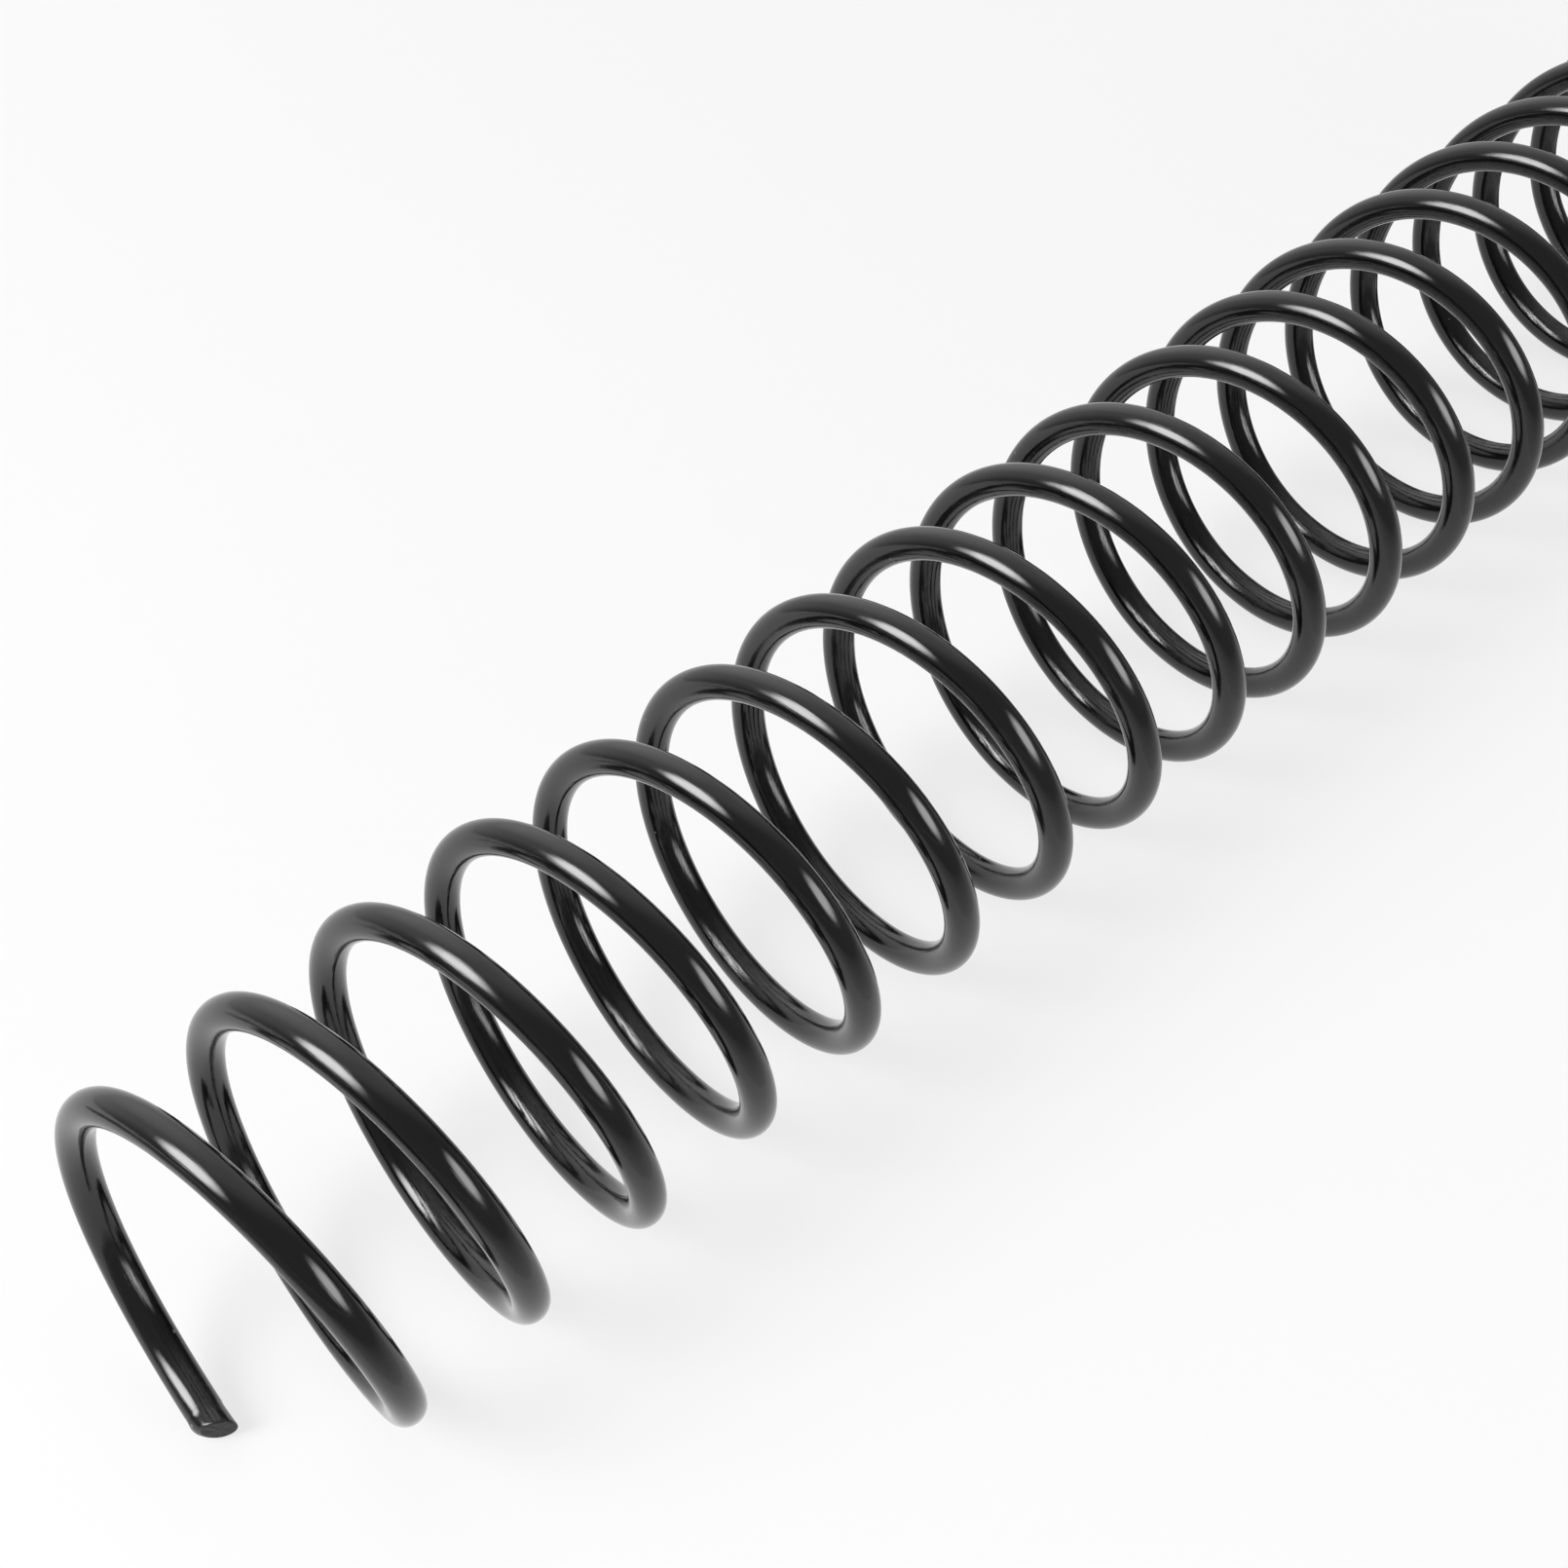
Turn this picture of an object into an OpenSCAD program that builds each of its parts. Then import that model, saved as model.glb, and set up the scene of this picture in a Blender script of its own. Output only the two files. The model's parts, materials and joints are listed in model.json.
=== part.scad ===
// Open-ended compression coil spring, lying on its side along Y.
// One round wire, right-hand wound, divided at the top and at the
// bottom of every turn into half-turn segments. Each segment can
// twist against the next about the wire's own centre line, which is
// how the wire of a coil spring gives when the spring is pressed.

/* [Wire] */
// Diameter of the spring wire over its coating
wire_d = 3.5; // [2.5:0.1:4.5]

/* [Coil] */
// Mean coil diameter, measured between wire centres
mean_d = 37; // [33:0.5:50]
// Distance between neighbouring turns of the unloaded spring, wire centre to wire centre
pitch = 13.8; // [10:0.1:18]
// How far past the lowest point of the coil the wire starts and ends, in degrees
end_angle = 3; // [0:1:40]

/* [Fit] */
// Clearance between neighbouring half-turn segments
kerf = 0.04; // [0.02:0.01:0.1]

/* [Hidden] */
NODES = [
    "near_end", "turn_01_right", "turn_02_left", "turn_02_right",
    "turn_03_left", "turn_03_right", "turn_04_left", "turn_04_right",
    "turn_05_left", "turn_05_right", "turn_06_left", "turn_06_right",
    "turn_07_left", "turn_07_right", "turn_08_left", "turn_08_right",
    "turn_09_left", "turn_09_right", "turn_10_left", "turn_10_right",
    "turn_11_left", "turn_11_right", "turn_12_left", "turn_12_right",
    "turn_13_left", "turn_13_right", "turn_14_left", "turn_14_right",
    "turn_15_left", "turn_15_right", "turn_16_left", "turn_16_right",
    "turn_17_left", "turn_17_right", "turn_18_left", "turn_18_right",
    "turn_19_left", "turn_19_right", "turn_20_left", "turn_20_right",
    "turn_21_left", "turn_21_right", "turn_22_left", "far_end"
];
$fn = 96;
wire_r = wire_d / 2;
coil_r = mean_d / 2;
axis_z = coil_r + wire_r;        // the lying spring touches z = 0
last = len(NODES) - 1;
step = pitch / 360;              // axial advance per degree of winding
c = pitch / (2 * PI);            // axial advance per radian

// Winding angles where half turn i starts and ends. 0 is the top of
// the coil, 90 its +X side, 180 the bottom.
function phi_a(i) = i == 0 ? 180 + end_angle : 180 + 180 * i;
function phi_b(i) = i == last ? 540 + 180 * (last - 1) - end_angle : 360 + 180 * i;
phi_mid = (phi_a(0) + phi_b(last)) / 2;

// A circular arc whose ends lie on the helix, h degrees of winding
// either side of its middle, with its plane tilted by arc_tilt so that
// neighbouring arcs share a tangent.
function arc_tilt(h) = atan(c * h * PI / 180 / (coil_r * sin(h)));
function arc_half(h) = atan(cos(arc_tilt(h)) * tan(h));
function arc_rad(h) = coil_r * sin(h) / (sin(arc_half(h)) * cos(arc_tilt(h)));
// Rise of the wire's tangent where two such arcs meet
function rise(h) = asin(cos(arc_half(h)) * sin(arc_tilt(h)));
// Turn of the arc's plane about that tangent
function roll(h) =
    let (b = arc_tilt(h), s = arc_half(h), g = rise(h))
    asin((sin(s) * cos(b) * cos(h) - cos(s) * sin(h)) * sin(g) - sin(s) * sin(b) * cos(g));

// Frame on the helix at winding angle q: x points away from the coil
// axis, y runs along the wire, z is square to both.
module on_wire(q, g)
    translate([0, (q - phi_mid) * step, axis_z])
        multmatrix([[sin(q), cos(q) * cos(g), -cos(q) * sin(g), coil_r * sin(q)],
                    [0, sin(g), cos(g), 0],
                    [cos(q), -sin(q) * cos(g), sin(q) * sin(g), coil_r * cos(q)],
                    [0, 0, 0, 1]])
            children();

// Arc of wire that starts at the local origin and runs along +y
// (dir = 1) or -y (dir = -1), stopping trim short of its full length.
module wire_arc(h, dir, trim) {
    rad = arc_rad(h);
    span = 2 * arc_half(h) - trim / rad * 180 / PI;
    rotate([0, dir * -roll(h), 0])
        translate([-rad, 0, 0])
            rotate_extrude(start = dir > 0 ? 0 : -span, angle = span)
                translate([rad, 0]) circle(r = wire_r);
}

// Half turn i, wound as two arcs either side of its middle
module half_turn(i) {
    a = phi_a(i);
    b = phi_b(i);
    h = (b - a) / 4;
    color([0.07, 0.07, 0.075])
        on_wire((a + b) / 2, rise(h)) {
            wire_arc(h, -1, i == 0 ? 0 : kerf / 2);
            wire_arc(h, 1, i == last ? 0 : kerf / 2);
        }
}

module near_end() { half_turn(0); }
module turn_01_right() { half_turn(1); }
module turn_02_left() { half_turn(2); }
module turn_02_right() { half_turn(3); }
module turn_03_left() { half_turn(4); }
module turn_03_right() { half_turn(5); }
module turn_04_left() { half_turn(6); }
module turn_04_right() { half_turn(7); }
module turn_05_left() { half_turn(8); }
module turn_05_right() { half_turn(9); }
module turn_06_left() { half_turn(10); }
module turn_06_right() { half_turn(11); }
module turn_07_left() { half_turn(12); }
module turn_07_right() { half_turn(13); }
module turn_08_left() { half_turn(14); }
module turn_08_right() { half_turn(15); }
module turn_09_left() { half_turn(16); }
module turn_09_right() { half_turn(17); }
module turn_10_left() { half_turn(18); }
module turn_10_right() { half_turn(19); }
module turn_11_left() { half_turn(20); }
module turn_11_right() { half_turn(21); }
module turn_12_left() { half_turn(22); }
module turn_12_right() { half_turn(23); }
module turn_13_left() { half_turn(24); }
module turn_13_right() { half_turn(25); }
module turn_14_left() { half_turn(26); }
module turn_14_right() { half_turn(27); }
module turn_15_left() { half_turn(28); }
module turn_15_right() { half_turn(29); }
module turn_16_left() { half_turn(30); }
module turn_16_right() { half_turn(31); }
module turn_17_left() { half_turn(32); }
module turn_17_right() { half_turn(33); }
module turn_18_left() { half_turn(34); }
module turn_18_right() { half_turn(35); }
module turn_19_left() { half_turn(36); }
module turn_19_right() { half_turn(37); }
module turn_20_left() { half_turn(38); }
module turn_20_right() { half_turn(39); }
module turn_21_left() { half_turn(40); }
module turn_21_right() { half_turn(41); }
module turn_22_left() { half_turn(42); }
module far_end() { half_turn(43); }

near_end();
turn_01_right();
turn_02_left();
turn_02_right();
turn_03_left();
turn_03_right();
turn_04_left();
turn_04_right();
turn_05_left();
turn_05_right();
turn_06_left();
turn_06_right();
turn_07_left();
turn_07_right();
turn_08_left();
turn_08_right();
turn_09_left();
turn_09_right();
turn_10_left();
turn_10_right();
turn_11_left();
turn_11_right();
turn_12_left();
turn_12_right();
turn_13_left();
turn_13_right();
turn_14_left();
turn_14_right();
turn_15_left();
turn_15_right();
turn_16_left();
turn_16_right();
turn_17_left();
turn_17_right();
turn_18_left();
turn_18_right();
turn_19_left();
turn_19_right();
turn_20_left();
turn_20_right();
turn_21_left();
turn_21_right();
turn_22_left();
far_end();
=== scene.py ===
import json
import math

import bpy
import numpy as np
from mathutils import Matrix, Quaternion, Vector


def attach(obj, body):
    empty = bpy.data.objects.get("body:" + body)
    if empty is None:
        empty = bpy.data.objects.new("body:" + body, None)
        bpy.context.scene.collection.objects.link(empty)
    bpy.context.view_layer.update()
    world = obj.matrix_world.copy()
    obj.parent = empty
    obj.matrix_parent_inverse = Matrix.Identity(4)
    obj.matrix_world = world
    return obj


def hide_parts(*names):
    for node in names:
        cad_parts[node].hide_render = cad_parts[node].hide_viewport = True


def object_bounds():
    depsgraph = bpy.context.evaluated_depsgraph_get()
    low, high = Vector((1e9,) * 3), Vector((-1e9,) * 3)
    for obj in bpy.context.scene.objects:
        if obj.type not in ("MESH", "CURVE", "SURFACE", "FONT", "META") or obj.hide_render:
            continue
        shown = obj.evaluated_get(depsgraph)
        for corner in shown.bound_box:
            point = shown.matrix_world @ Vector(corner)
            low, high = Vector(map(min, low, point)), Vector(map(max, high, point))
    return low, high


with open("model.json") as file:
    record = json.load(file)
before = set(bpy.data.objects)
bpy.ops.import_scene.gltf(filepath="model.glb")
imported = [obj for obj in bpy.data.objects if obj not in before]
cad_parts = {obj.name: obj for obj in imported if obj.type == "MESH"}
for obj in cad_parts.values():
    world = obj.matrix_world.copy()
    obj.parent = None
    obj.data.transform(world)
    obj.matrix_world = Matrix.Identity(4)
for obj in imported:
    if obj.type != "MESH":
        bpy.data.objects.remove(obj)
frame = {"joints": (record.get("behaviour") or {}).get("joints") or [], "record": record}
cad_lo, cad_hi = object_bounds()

# ---------------------------------------------------------------- sizes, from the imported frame
record = frame["record"]
joints = frame["joints"]
bodies = record["behaviour"]["bodies"]
body_of_node = {n: b for b, ns in bodies.items() for n in ns}

r_wire = float(joints[0]["pos_m"][2])                       # the lead hinge lies in the wire's centre line, at the bottom
height = cad_hi.z - cad_lo.z
R_coil = height / 2 - r_wire
z_axis = cad_lo.z + height / 2
pitch = abs(joints[2]["pos_m"][1] - joints[0]["pos_m"][1])  # two half-turns on
rise = math.asin(abs(joints[0]["axis"][1]) / math.sqrt(sum(c * c for c in joints[0]["axis"])))
TURNS = 22
N_NODES = 2 * TURNS
MID = 180.0 + 180.0 * N_NODES / 2
mounts = {m["name"]: m for m in record.get("mounts", [])}
near = mounts["near_wire_end"]["pos_m"]
tip_past = math.degrees(math.atan2(-near[0], -(near[2] - z_axis)))   # how far the cut end lies past the bottom
PHI_FIRST = 180.0 + tip_past
PHI_LAST = 180.0 + 180.0 * N_NODES - tip_past
LEAD = math.atan(pitch / (2 * math.pi * R_coil))


def node_names():
    names = ["near_end", "turn_01_right"]
    for t in range(2, TURNS + 1):
        names.append("turn_%02d_left" % t)
        names.append("turn_%02d_right" % t if t < TURNS else "far_end")
    return names


NAMES = node_names()


# ---------------------------------------------------------------- the wire as one smooth surface
def wave(x, y, z, seed):
    """Smooth noise from -1 to 1, the same at every run."""
    k = np.random.default_rng(seed)
    total = np.zeros(np.broadcast(x, y, z).shape)
    for i in range(7):
        d = k.normal(size=3)
        d /= np.linalg.norm(d)
        f = 0.7 + 0.45 * i
        total = total + np.sin(f * (d[0] * x + d[1] * y + d[2] * z) * 2.0 + k.uniform(0, 2 * math.pi)) / (1 + 0.35 * i)
    return total / 3.2


def centre(phi):
    q = np.radians(phi)
    return np.stack([R_coil * np.sin(q), (phi - MID) * pitch / 360.0, z_axis + R_coil * np.cos(q)], -1)


def frames(phi):
    """Tangent, outward and side directions. At each hinge the ring stands square to the hinge line."""
    q = np.radians(phi)
    near_hinge = np.abs((phi - 180.0 + 90.0) % 180.0 - 90.0)
    w = np.clip(1 - near_hinge / 20.0, 0, 1)
    w = w * w * (3 - 2 * w)
    g = LEAD + (rise - LEAD) * w
    T = np.stack([np.cos(q) * np.cos(g), np.sin(g), -np.sin(q) * np.cos(g)], -1)
    E = np.stack([np.sin(q), np.zeros_like(q), np.cos(q)], -1)
    B = np.cross(T, E)
    return T, E, B


def lift(phi, psi):
    """How far the painted skin stands off the round wire: slow runs of the coat and flats left by coiling."""
    s = np.radians(phi) * R_coil * 1000.0            # millimetres along the wire
    x, y = np.cos(psi), np.sin(psi)
    slow = wave(1.3 * x, 1.3 * y, s / 16.0, 11)
    fine = wave(2.6 * x, 2.6 * y, s / 5.0, 23)
    flat = -0.5 * np.exp(-((np.abs((psi + math.pi) % (2 * math.pi) - math.pi) / 0.42) ** 2))   # the coiling rolls bear on the outside
    hinge = np.abs((phi - 180.0 + 90.0) % 180.0 - 90.0)
    fade = np.clip((hinge - 1.5) / 9.0, 0, 1)
    fade = fade * fade * (3 - 2 * fade)
    return 1e-6 * (9.0 * slow + 3.5 * fine + 14.0 * flat) * fade


def skin(phi, psi):
    T, E, B = frames(phi)
    rad = r_wire + lift(phi, psi)
    return centre(phi) + rad[..., None] * (np.cos(psi)[..., None] * E + np.sin(psi)[..., None] * B)


def skin_normal(phi, psi):
    d, e = 0.15, 0.01
    a = skin(phi + d, psi) - skin(phi - d, psi)
    b = skin(phi, psi + e) - skin(phi, psi - e)
    n = np.cross(b, a)
    n /= np.linalg.norm(n, axis=-1, keepdims=True)
    T, E, B = frames(phi)
    out = np.cos(psi)[..., None] * E + np.sin(psi)[..., None] * B
    n = n * np.sign((n * out).sum(-1, keepdims=True))
    hinge = np.abs((phi - 180.0 + 90.0) % 180.0 - 90.0)
    k = np.clip(hinge / 4.0, 0, 1)[..., None]          # exactly radial at the hinge rings, so turned pieces still meet
    n = n * k + out * (1 - k)
    return n / np.linalg.norm(n, axis=-1, keepdims=True)


AROUND = 44
STEP = 2.0
GAP = 4e-6
psis = np.arange(AROUND) * 2 * math.pi / AROUND


def cut_rings(phi0, sign):
    """The sheared end: rolled-over edge on one side, a burr on the other and a slightly sloping, torn face.
    sign is -1 where the wire runs away towards higher angles (near end), +1 at the far end."""
    c = centre(np.array([phi0]))[0]
    T, E, B = (v[0] for v in frames(np.array([phi0])))
    axis = T * sign
    side = math.radians(72.0) if sign < 0 else math.radians(-72.0)   # where the blade came in: the outer side of the spring's end
    rel = np.cos(psis - side)
    # how strongly the edge is rolled over round the wire
    roll = np.clip((rel + 0.15) / 1.15, 0, 1) ** 1.5
    rings, kinds = [], []
    # (share of the radius, distance back from the cut plane) for a plain edge and for the rolled-over side
    plain = [(1.0, -1.90), (1.0, -1.25), (1.0, -0.72), (1.0, -0.34), (0.998, -0.16), (0.985, -0.065), (0.958, -0.018), (0.93, 0.0), (0.86, 0.004)]
    rolled = [(1.0, -1.90), (0.99, -1.45), (0.97, -1.08), (0.93, -0.74), (0.87, -0.45), (0.80, -0.22), (0.735, -0.085), (0.69, -0.022), (0.65, 0.0)]
    jag = 0.5 * np.sin(5 * psis + 0.7) + 0.35 * np.sin(9 * psis + 2.1) + 0.25 * np.sin(14 * psis + 4.0)
    slope = math.tan(math.radians(27.0))
    for (pr, pz), (qr, qz) in zip(plain, rolled):
        rho = pr + (qr - pr) * roll
        z = pz + (qz - pz) * roll
        x = rho * r_wire * np.cos(psis - side)
        near_face = np.clip(1 + z / 1.9, 0, 1)
        tilt = -slope * x * near_face
        z = z * 1e-3 + tilt + 8e-6 * jag * near_face
        rings.append(c + (rho * r_wire)[:, None] * (np.cos(psis)[:, None] * E + np.sin(psis)[:, None] * B) + z[:, None] * axis)
        last_rho = rho
    for k, share in enumerate((0.8, 0.6, 0.4, 0.2)):
        rho = last_rho * share
        x = rho * r_wire * np.cos(psis - side)
        z = -slope * x + 1e-6 * (16 * jag * share + 22 * np.sin(x * 9000.0 + k))
        rings.append(c + (rho * r_wire)[:, None] * (np.cos(psis)[:, None] * E + np.sin(psis)[:, None] * B) + z[:, None] * axis)
    return rings, c + 1e-5 * axis


def build(i):
    name = NAMES[i]
    lo = PHI_FIRST if i == 0 else 180.0 + 180.0 * i
    hi = PHI_LAST if i == N_NODES - 1 else 360.0 + 180.0 * i
    tip_lo, tip_hi = i == 0, i == N_NODES - 1
    back = 2.35e-3 / R_coil * 180 / math.pi           # the cut end is built from here on
    a = lo + (back if tip_lo else 0)
    b = hi - (back if tip_hi else 0)
    n = int(round((b - a) / STEP))
    phi = np.linspace(a, b, n + 1)
    P, Q = np.meshgrid(phi, psis, indexing="ij")
    co = list(skin(P, Q).reshape(-1, 3))
    no = list(skin_normal(P, Q).reshape(-1, 3))
    wire = list(np.stack([np.cos(Q), np.sin(Q), np.radians(P) * R_coil * 1000.0], -1).reshape(-1, 3))
    cut = [0.0] * len(co)
    rings = [list(range(k * AROUND, (k + 1) * AROUND)) for k in range(n + 1)]
    # turned pieces mustn't rub: each closed join stands a hair back from its hinge plane
    for ring, q, way, tip in ((rings[0], lo, 1, tip_lo), (rings[-1], hi, -1, tip_hi)):
        if not tip:
            T = frames(np.array([q]))[0][0]
            for v in ring:
                co[v] = co[v] + way * GAP * T
    free_normals = set()

    def add_ring(pts, s, value):
        ids = []
        for j, p in enumerate(pts):
            ids.append(len(co))
            co.append(p)
            no.append(None)
            wire.append((math.cos(psis[j]), math.sin(psis[j]), s))
            cut.append(value)
            free_normals.add(ids[-1])
        return ids

    faces = []

    def strip(r0, r1):
        for j in range(AROUND):
            k = (j + 1) % AROUND
            faces.append((r0[j], r1[j], r1[k], r0[k]))

    # one order along the wire, from lower to higher angle
    order = list(rings)
    low_cap = high_cap = None
    s_of = lambda q: math.radians(q) * R_coil * 1000.0
    if tip_lo:
        pts, mid = cut_rings(lo, -1)
        made = [add_ring(p, s_of(lo) + 0.4 * (8 - k), 1.0 if k >= 7 else (0.35 if k >= 4 else 0.0)) for k, p in enumerate(pts)]
        order = made[::-1] + order
        low_cap = len(co)
        co.append(mid); no.append(None); wire.append((0, 0, s_of(lo))); cut.append(1.0); free_normals.add(low_cap)
    if tip_hi:
        pts, mid = cut_rings(hi, 1)
        made = [add_ring(p, s_of(hi) - 0.4 * (8 - k), 1.0 if k >= 7 else (0.35 if k >= 4 else 0.0)) for k, p in enumerate(pts)]
        order = order + made
        high_cap = len(co)
        co.append(mid); no.append(None); wire.append((0, 0, s_of(hi))); cut.append(1.0); free_normals.add(high_cap)
    for r0, r1 in zip(order[:-1], order[1:]):
        strip(r0, r1)
    tube_faces = len(faces)
    # closed ends
    flat = []
    for ring, cap, low in ((order[0], low_cap, True), (order[-1], high_cap, False)):
        if cap is not None:
            for j in range(AROUND):
                k = (j + 1) % AROUND
                faces.append((cap, ring[j], ring[k]) if low else (cap, ring[k], ring[j]))
        else:
            c_id = len(co)
            pts = np.array([co[v] for v in ring])
            co.append(pts.mean(0)); no.append(None); wire.append((0, 0, s_of(lo if low else hi))); cut.append(0.0)
            for j in range(AROUND):
                k = (j + 1) % AROUND
                flat.append(len(faces))
                faces.append((c_id, ring[j], ring[k]) if low else (c_id, ring[k], ring[j]))
    v = np.array([tuple(map(float, p)) for p in co])
    tri = np.array([(f[0], f[k], f[k + 1]) for f in faces for k in range(1, len(f) - 1)])
    vol = np.einsum("ij,ij->i", v[tri[:, 0]] - v[0], np.cross(v[tri[:, 1]] - v[0], v[tri[:, 2]] - v[0])).sum()
    if vol < 0:
        faces = [f[::-1] for f in faces]
    me = bpy.data.meshes.new(name + "_wire")
    me.from_pydata(v.tolist(), [], faces)
    me.update()
    att = me.attributes.new("wire", "FLOAT_VECTOR", "POINT")
    att.data.foreach_set("vector", np.array(wire, np.float32).reshape(-1))
    ca = me.attributes.new("cut", "FLOAT", "POINT")
    ca.data.foreach_set("value", np.array(cut, np.float32))
    me.polygons.foreach_set("use_smooth", [True] * len(faces))
    # exact normals on the wire's skin, the faces' own at the closed joins, averaged ones on the cut end
    nf = len(me.polygons)
    pn = np.zeros(nf * 3, np.float32); me.polygons.foreach_get("normal", pn); pn = pn.reshape(-1, 3).astype(float)
    pa = np.zeros(nf, np.float32); me.polygons.foreach_get("area", pa)
    total = np.zeros(nf, np.int32); me.polygons.foreach_get("loop_total", total)
    lv = np.zeros(len(me.loops), np.int32); me.loops.foreach_get("vertex_index", lv)
    lf = np.repeat(np.arange(nf), total)
    is_flat = np.zeros(nf, bool); is_flat[flat] = True
    acc = np.zeros((len(v), 3))
    use = ~is_flat[lf]
    np.add.at(acc, lv[use], pn[lf[use]] * pa[lf[use]][:, None])
    length = np.linalg.norm(acc, axis=1); length[length == 0] = 1
    vn = acc / length[:, None]
    known = np.array([n is not None for n in no])
    vn[known] = np.array([n for n in no if n is not None])
    loops = np.where(is_flat[lf][:, None], pn[lf], vn[lv])
    me.normals_split_custom_set(loops.tolist())
    ob = bpy.data.objects.new(name + "_wire", me)
    bpy.context.scene.collection.objects.link(ob)
    me.materials.append(black)
    if tip_lo or tip_hi:
        me.materials.append(cut_black)
        torn = [1 if all(cut[q] > 0.99 for q in f) else 0 for f in faces]
        me.polygons.foreach_set("material_index", torn)
    return ob


# ---------------------------------------------------------------- the black gloss coat
def coat_material(name="black_coat_gloss"):
    m = bpy.data.materials.new(name)
    m.use_nodes = True
    nt = m.node_tree
    nt.nodes.clear()
    N, L = nt.nodes.new, nt.links.new
    out = N("ShaderNodeOutputMaterial")
    bsdf = N("ShaderNodeBsdfPrincipled")
    L(bsdf.outputs[0], out.inputs[0])
    wire = N("ShaderNodeAttribute"); wire.attribute_name = "wire"
    cut = N("ShaderNodeAttribute"); cut.attribute_name = "cut"
    sep = N("ShaderNodeSeparateXYZ"); L(wire.outputs["Vector"], sep.inputs[0])
    pos = N("ShaderNodeTexCoord")

    def math_node(op, a=None, b=None, c=None, clamp=False):
        n = N("ShaderNodeMath"); n.operation = op; n.use_clamp = clamp
        for k, x in enumerate((a, b, c)):
            if x is None:
                continue
            if isinstance(x, (int, float)):
                n.inputs[k].default_value = x
            else:
                L(x, n.inputs[k])
        return n.outputs[0]

    def along(around_scale, along_scale, scale, detail, rough=0.55, distortion=0.0):
        """Noise stretched along the wire."""
        c = N("ShaderNodeCombineXYZ")
        L(math_node("MULTIPLY", sep.outputs[0], around_scale), c.inputs[0])
        L(math_node("MULTIPLY", sep.outputs[1], around_scale), c.inputs[1])
        L(math_node("MULTIPLY", sep.outputs[2], along_scale), c.inputs[2])
        n = N("ShaderNodeTexNoise")
        n.inputs["Scale"].default_value = scale
        n.inputs["Detail"].default_value = detail
        n.inputs["Roughness"].default_value = rough
        n.inputs["Distortion"].default_value = distortion
        L(c.outputs[0], n.inputs["Vector"])
        return n.outputs["Fac"]

    def ranged(x, a, b, lo, hi):
        n = N("ShaderNodeMapRange")
        L(x, n.inputs["Value"])
        n.inputs["From Min"].default_value = a
        n.inputs["From Max"].default_value = b
        n.inputs["To Min"].default_value = lo
        n.inputs["To Max"].default_value = hi
        return n.outputs["Result"]

    # drawing lines of the wire, which telegraph through the coat
    lines = along(1.0, 0.028, 9.0, 3.0, 0.6)
    hair = along(1.0, 0.06, 26.0, 2.0, 0.6)
    patch = along(0.8, 0.05, 1.2, 2.0)            # where they show and where the coat is thick enough to hide them
    peel = along(1.75, 1.0, 1.3, 2.0, 0.5)        # slight orange peel, about a millimetre across
    # the inside of the coil is coated thinner, so the lines show most there
    inner = ranged(sep.outputs[0], -1.0, 0.35, 1.0, 0.6)
    show = math_node("MULTIPLY", ranged(patch, 0.35, 0.65, 0.25, 1.0), inner)
    h_lines = math_node("MULTIPLY", math_node("SUBTRACT", lines, 0.5), math_node("MULTIPLY", show, 2.3))
    h_hair = math_node("MULTIPLY", math_node("SUBTRACT", hair, 0.5), math_node("MULTIPLY", show, 0.35))
    h_peel = math_node("MULTIPLY", math_node("SUBTRACT", peel, 0.5), 0.30)

    # dust specks and tiny nicks
    vor = N("ShaderNodeTexVoronoi"); vor.inputs["Scale"].default_value = 420.0
    vor.inputs["Randomness"].default_value = 1.0
    L(pos.outputs["Object"], vor.inputs["Vector"])
    rare = N("ShaderNodeSeparateColor"); L(vor.outputs["Color"], rare.inputs[0])
    speck = math_node("MULTIPLY", math_node("LESS_THAN", vor.outputs["Distance"], 0.075), math_node("GREATER_THAN", rare.outputs[0], 0.90))
    nick = math_node("MULTIPLY", math_node("LESS_THAN", vor.outputs["Distance"], 0.13), math_node("LESS_THAN", rare.outputs[1], 0.035))

    height_ = math_node("ADD", math_node("ADD", h_lines, h_hair), h_peel)
    height_ = math_node("SUBTRACT", height_, math_node("MULTIPLY", nick, 0.8))
    height_ = math_node("ADD", height_, math_node("MULTIPLY", speck, 0.5))
    # torn face of the cut
    torn = N("ShaderNodeTexNoise"); torn.inputs["Scale"].default_value = 2600.0; torn.inputs["Detail"].default_value = 4.0
    L(pos.outputs["Object"], torn.inputs["Vector"])
    height_ = math_node("ADD", height_, math_node("MULTIPLY", math_node("SUBTRACT", torn.outputs["Fac"], 0.5), math_node("MULTIPLY", cut.outputs["Fac"], 1.6)))
    bump = N("ShaderNodeBump")
    bump.inputs["Strength"].default_value = 1.0
    bump.inputs["Distance"].default_value = 0.0000135
    L(height_, bump.inputs["Height"])
    L(bump.outputs[0], bsdf.inputs["Normal"])

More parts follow.
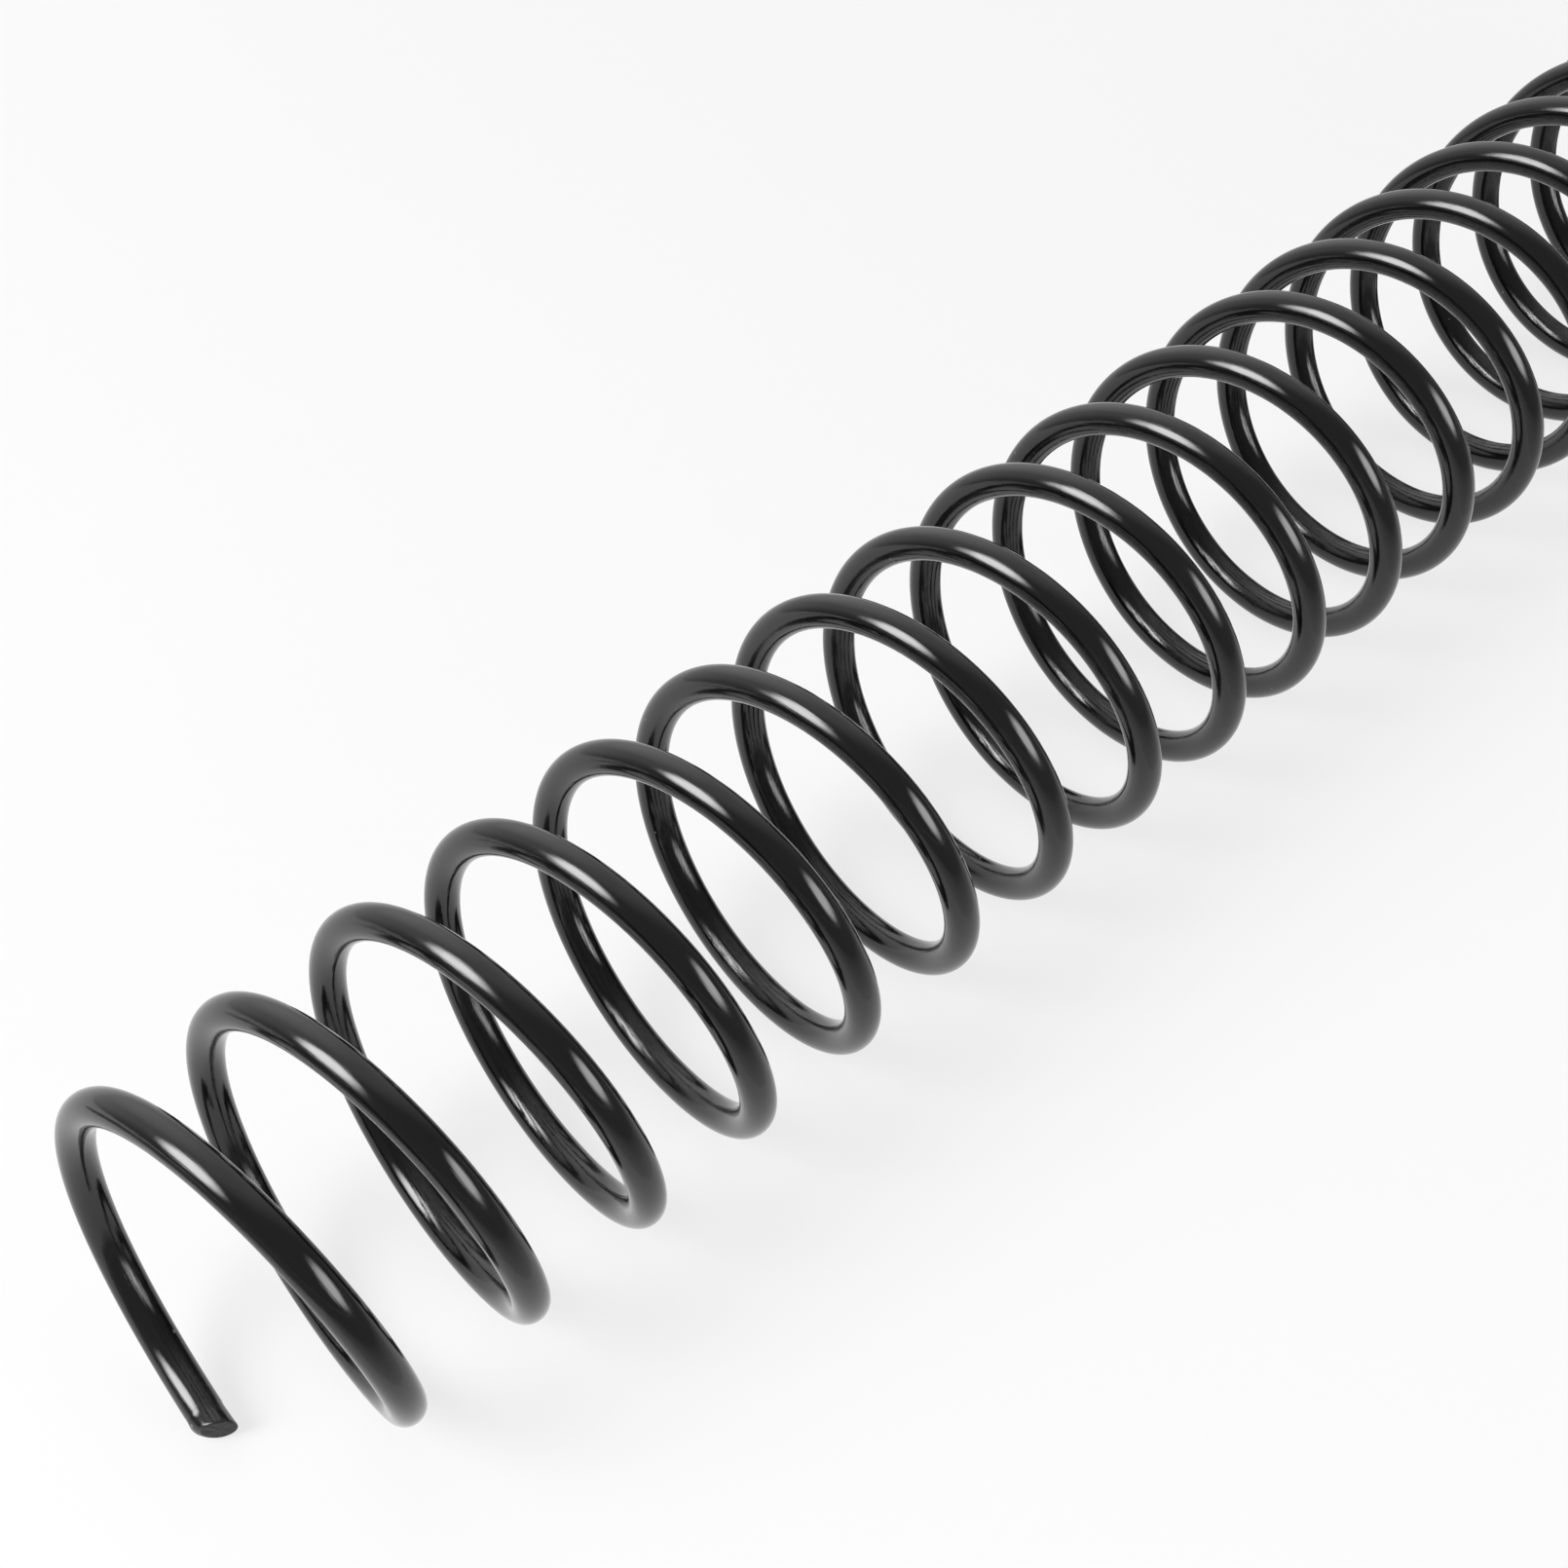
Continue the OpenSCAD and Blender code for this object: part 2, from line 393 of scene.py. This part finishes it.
    # colour: near black with a slightly lighter, warmer thin-coat tone on the lines and at the cut
    tone = N("ShaderNodeValToRGB")
    tone.color_ramp.elements[0].position = 0.30
    tone.color_ramp.elements[0].color = (0.0014, 0.0014, 0.0015, 1)
    tone.color_ramp.elements[1].position = 0.72
    tone.color_ramp.elements[1].color = (0.0042, 0.0041, 0.0042, 1)
    mixed = math_node("ADD", math_node("MULTIPLY", patch, 0.5), math_node("MULTIPLY", lines, 0.5))
    L(mixed, tone.inputs[0])
    dust = N("ShaderNodeMix"); dust.data_type = "RGBA"
    L(tone.outputs[0], dust.inputs[6])
    dust.inputs[7].default_value = (0.10, 0.097, 0.094, 1)
    L(speck, dust.inputs[0])
    cutmix = N("ShaderNodeMix"); cutmix.data_type = "RGBA"
    L(math_node("MULTIPLY", cut.outputs["Fac"], ranged(torn.outputs["Fac"], 0.35, 0.65, 0.25, 0.8)), cutmix.inputs[0])
    L(dust.outputs[2], cutmix.inputs[6])
    cutmix.inputs[7].default_value = (0.0030, 0.0029, 0.0028, 1)
    L(cutmix.outputs[2], bsdf.inputs["Base Color"])

    # gloss: thick coat is mirror-like, the thin coat over the lines and the cut is duller
    rough = math_node("ADD", ranged(patch, 0.3, 0.7, 0.065, 0.115), math_node("MULTIPLY", math_node("MULTIPLY", ranged(hair, 0.45, 0.75, 0.0, 1.0), show), 0.10))
    rough = math_node("ADD", rough, math_node("MULTIPLY", cut.outputs["Fac"], 0.60))
    rough = math_node("ADD", rough, math_node("MULTIPLY", speck, 0.4), clamp=True)
    L(rough, bsdf.inputs["Roughness"])
    bsdf.inputs["IOR"].default_value = 1.52
    return m


def cut_material(name="black_coat_on_cut"):
    """The sheared face: the coat is thin and dull over the torn steel."""
    m = bpy.data.materials.new(name)
    m.use_nodes = True
    nt = m.node_tree
    nt.nodes.clear()
    N, L = nt.nodes.new, nt.links.new
    out = N("ShaderNodeOutputMaterial")
    bsdf = N("ShaderNodeBsdfPrincipled")
    L(bsdf.outputs[0], out.inputs[0])
    pos = N("ShaderNodeTexCoord")
    torn = N("ShaderNodeTexNoise")
    torn.inputs["Scale"].default_value = 2600.0
    torn.inputs["Detail"].default_value = 4.0
    L(pos.outputs["Object"], torn.inputs["Vector"])
    tone = N("ShaderNodeValToRGB")
    tone.color_ramp.elements[0].position = 0.35
    tone.color_ramp.elements[0].color = (0.0020, 0.0020, 0.0020, 1)
    tone.color_ramp.elements[1].position = 0.68
    tone.color_ramp.elements[1].color = (0.0075, 0.0072, 0.0070, 1)
    L(torn.outputs["Fac"], tone.inputs[0])
    L(tone.outputs[0], bsdf.inputs["Base Color"])
    bump = N("ShaderNodeBump")
    bump.inputs["Distance"].default_value = 0.00003
    L(torn.outputs["Fac"], bump.inputs["Height"])
    L(bump.outputs[0], bsdf.inputs["Normal"])
    bsdf.inputs["Roughness"].default_value = 0.38
    bsdf.inputs["Specular IOR Level"].default_value = 0.17
    return m


black = coat_material()
cut_black = cut_material()
for i, name in enumerate(NAMES):
    ob = build(i)
    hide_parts(name)
    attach(ob, body_of_node[name])


# ---------------------------------------------------------------- camera at the picture's viewing angle
cam_data = bpy.data.cameras.new("camera")
cam = bpy.data.objects.new("camera", cam_data)
bpy.context.scene.collection.objects.link(cam)
cam_data.sensor_fit = "HORIZONTAL"
cam_data.sensor_width = 36.0
cam_data.lens = 51.95
cam_data.clip_start = 0.005
cam_data.clip_end = 20.0
right = Vector((0.6930277667, 0.7133801927, -0.1039288952))
up = Vector((-0.4398290378, 0.5326246083, 0.7230915877))
backward = Vector((0.5711943032, -0.4554116021, 0.6828889665))
place = Vector((0.12566800, -0.17713870, 0.17844337))
cam.matrix_world = Matrix(((right.x, up.x, backward.x, place.x), (right.y, up.y, backward.y, place.y), (right.z, up.z, backward.z, place.z), (0, 0, 0, 1)))
bpy.context.scene.camera = cam


# ---------------------------------------------------------------- pale floor with a painted glow, plain studio light
def emission(name, colour, strength):
    m = bpy.data.materials.new(name)
    m.use_nodes = True
    nt = m.node_tree
    nt.nodes.clear()
    out = nt.nodes.new("ShaderNodeOutputMaterial")
    em = nt.nodes.new("ShaderNodeEmission")
    em.inputs[0].default_value = (*colour, 1)
    em.inputs[1].default_value = strength
    nt.links.new(em.outputs[0], out.inputs[0])
    return m


def plane(name, half_x, half_y, z=0.0, seg=1):
    me = bpy.data.meshes.new(name)
    me.from_pydata([(-half_x, -half_y, z), (half_x, -half_y, z), (half_x, half_y, z), (-half_x, half_y, z)], [], [(0, 1, 2, 3)])
    ob = bpy.data.objects.new(name, me)
    bpy.context.scene.collection.objects.link(ob)
    return ob


floor = plane("floor", 4.0, 4.0, cad_lo.z - 0.0002)
# painted light: the floor's own colour is a dim grey (0.15) and it looks white by a glow of its own, 0.72 near the
# spring rising to 0.88 further out, which evens out the lamps' fall-off and keeps the cast shadows faint
fm = bpy.data.materials.new("floor_painted_glow")
fm.use_nodes = True
nt = fm.node_tree
nt.nodes.clear()
fo = nt.nodes.new("ShaderNodeOutputMaterial")
mixer = nt.nodes.new("ShaderNodeAddShader")
fd = nt.nodes.new("ShaderNodeBsdfDiffuse")
fd.inputs[0].default_value = (0.15, 0.15, 0.15, 1)
fe = nt.nodes.new("ShaderNodeEmission")
fe.inputs[0].default_value = (1, 1, 1, 1)
nt.links.new(fd.outputs[0], mixer.inputs[0])
gx = nt.nodes.new("ShaderNodeTexCoord")
gl = nt.nodes.new("ShaderNodeVectorMath"); gl.operation = "LENGTH"
gm = nt.nodes.new("ShaderNodeMapRange"); gm.interpolation_type = "SMOOTHSTEP"
gm.inputs["From Min"].default_value = 0.10
gm.inputs["From Max"].default_value = 0.9
gm.inputs["To Min"].default_value = 0.72
gm.inputs["To Max"].default_value = 0.88
nt.links.new(gx.outputs["Object"], gl.inputs[0])
nt.links.new(gl.outputs["Value"], gm.inputs["Value"])
nt.links.new(gm.outputs["Result"], fe.inputs[1])
nt.links.new(fe.outputs[0], mixer.inputs[1])
nt.links.new(mixer.outputs[0], fo.inputs[0])
floor.data.materials.append(fm)

# far pale wall, seen only where a camera looks past the floor
bpy.ops.mesh.primitive_uv_sphere_add(segments=48, ring_count=24, radius=3.9)
dome = bpy.context.object
dome.name = "backdrop"
dome.data.materials.append(emission("backdrop_pale", (1, 1, 1), 0.93))
dome.visible_glossy = False
dome.visible_diffuse = False
dome.visible_shadow = False
dome.visible_transmission = False


# painted reflections: glowing grey sheets over the table's right side and near end, which only the gloss sees; they
# stand in for a dim, shaded surround there
def card(name, x0, x1, y0, y1, z, material):
    me = bpy.data.meshes.new(name)
    me.from_pydata([(x0, y0, z), (x1, y0, z), (x1, y1, z), (x0, y1, z)], [], [(0, 1, 2, 3)])
    ob = bpy.data.objects.new(name, me)
    bpy.context.scene.collection.objects.link(ob)
    ob.data.materials.append(material)
    ob.visible_camera = False
    ob.visible_diffuse = False
    ob.visible_shadow = False
    ob.visible_transmission = False


# painted reflection: the side sheet's glow falls from 0.82 near the spring to 0.30 further out, and the near-end sheet
# glows an even 0.30
grey = emission("painted_reflection_side_grey", (1, 1, 1), 0.30)
nt = grey.node_tree
em = [n for n in nt.nodes if n.type == "EMISSION"][0]
gx = nt.nodes.new("ShaderNodeTexCoord")
gs = nt.nodes.new("ShaderNodeSeparateXYZ")
gm = nt.nodes.new("ShaderNodeMapRange")
gm.inputs["From Min"].default_value = 0.034
gm.inputs["From Max"].default_value = 0.085
gm.inputs["To Min"].default_value = 0.82
gm.inputs["To Max"].default_value = 0.30
nt.links.new(gx.outputs["Object"], gs.inputs[0])
nt.links.new(gs.outputs[0], gm.inputs["Value"])
nt.links.new(gm.outputs["Result"], em.inputs[1])
card("painted_reflection_side", 0.034, 1.6, -0.215, 1.2, cad_lo.z + 0.0008, grey)
card("painted_reflection_end", -0.16, 1.6, -1.6, -0.215, cad_lo.z + 0.0008, emission("painted_reflection_end_grey", (1, 1, 1), 0.30))


def direction(az, el):
    a, e = math.radians(az), math.radians(el)
    return Vector((math.sin(a) * math.cos(e), math.cos(a) * math.cos(e), math.sin(e)))


target = Vector((0, -0.060, z_axis))


def softbox(name, az, el, distance, width, height_, radiance, core=0.35, roll=0.0):
    """A soft panel: bright in the middle and fading towards its rim, as a diffuser lit from behind does."""
    d = bpy.data.lights.new(name, "AREA")
    d.shape = "ELLIPSE"
    d.size = width
    d.size_y = height_
    area = math.pi * width * height_ / 4
    d.energy = radiance * area * math.pi            # a Lambert panel of that radiance
    d.color = (1, 1, 1)
    d.use_nodes = True
    t = d.node_tree
    t.nodes.clear()
    o = t.nodes.new("ShaderNodeOutputLight")
    e = t.nodes.new("ShaderNodeEmission")
    g = t.nodes.new("ShaderNodeNewGeometry")
    sub = t.nodes.new("ShaderNodeVectorMath"); sub.operation = "SUBTRACT"; sub.inputs[1].default_value = (0.5, 0.5, 0.0)
    ln = t.nodes.new("ShaderNodeVectorMath"); ln.operation = "LENGTH"
    m_ = t.nodes.new("ShaderNodeMapRange"); m_.interpolation_type = "SMOOTHSTEP"
    m_.inputs["From Min"].default_value = 0.5 * core
    m_.inputs["From Max"].default_value = 0.5
    m_.inputs["To Min"].default_value = 1.0
    m_.inputs["To Max"].default_value = 0.0
    t.links.new(g.outputs["Parametric"], sub.inputs[0])
    t.links.new(sub.outputs[0], ln.inputs[0])
    t.links.new(ln.outputs["Value"], m_.inputs["Value"])
    t.links.new(m_.outputs["Result"], e.inputs["Strength"])
    t.links.new(e.outputs[0], o.inputs[0])
    ob = bpy.data.objects.new(name, d)
    bpy.context.scene.collection.objects.link(ob)
    p = target + direction(az, el) * distance
    ob.location = p
    ob.rotation_euler = ((target - p).to_track_quat("-Z", "Y") @ Quaternion((0, 0, 1), math.radians(roll))).to_euler()
    return ob


softbox("softbox_key", -165, 40, 0.75, 0.58, 0.78, 15.0)
softbox("softbox_side", 71, 17, 0.75, 0.86, 0.46, 7.0, roll=10)

# the room: pale on the left and behind, dim on the camera's side
world = bpy.data.worlds.new("studio")
bpy.context.scene.world = world
world.use_nodes = True
wt = world.node_tree
wt.nodes.clear()
wo = wt.nodes.new("ShaderNodeOutputWorld")
bg = wt.nodes.new("ShaderNodeBackground")
tc = wt.nodes.new("ShaderNodeTexCoord")
dot = wt.nodes.new("ShaderNodeVectorMath")
dot.operation = "DOT_PRODUCT"
dot.inputs[1].default_value = direction(-66, 41)
ramp = wt.nodes.new("ShaderNodeValToRGB")
mr = wt.nodes.new("ShaderNodeMapRange")
mr.inputs["From Min"].default_value = -1.0
mr.inputs["From Max"].default_value = 1.0
els = ramp.color_ramp.elements
els[0].position = 0.0
els[0].color = (0.27, 0.27, 0.27, 1)
els[1].position = 1.0
els[1].color = (1.50, 1.50, 1.50, 1)
for p_, v_ in ((0.50, 0.27), (0.60, 0.29), (0.66, 0.34), (0.70, 0.46), (0.75, 0.60), (0.82, 0.86), (0.91, 0.95), (0.95, 1.20), (0.98, 1.45)):
    e_ = els.new(p_)
    e_.color = (v_, v_, v_, 1)
wt.links.new(tc.outputs["Generated"], dot.inputs[0])
wt.links.new(dot.outputs["Value"], mr.inputs["Value"])
wt.links.new(mr.outputs["Result"], ramp.inputs[0])
wt.links.new(ramp.outputs[0], bg.inputs[0])
bg.inputs[1].default_value = 1.0
wt.links.new(bg.outputs[0], wo.inputs[0])

bpy.context.scene.view_settings.view_transform = "Standard"
bpy.context.scene.view_settings.look = "None"
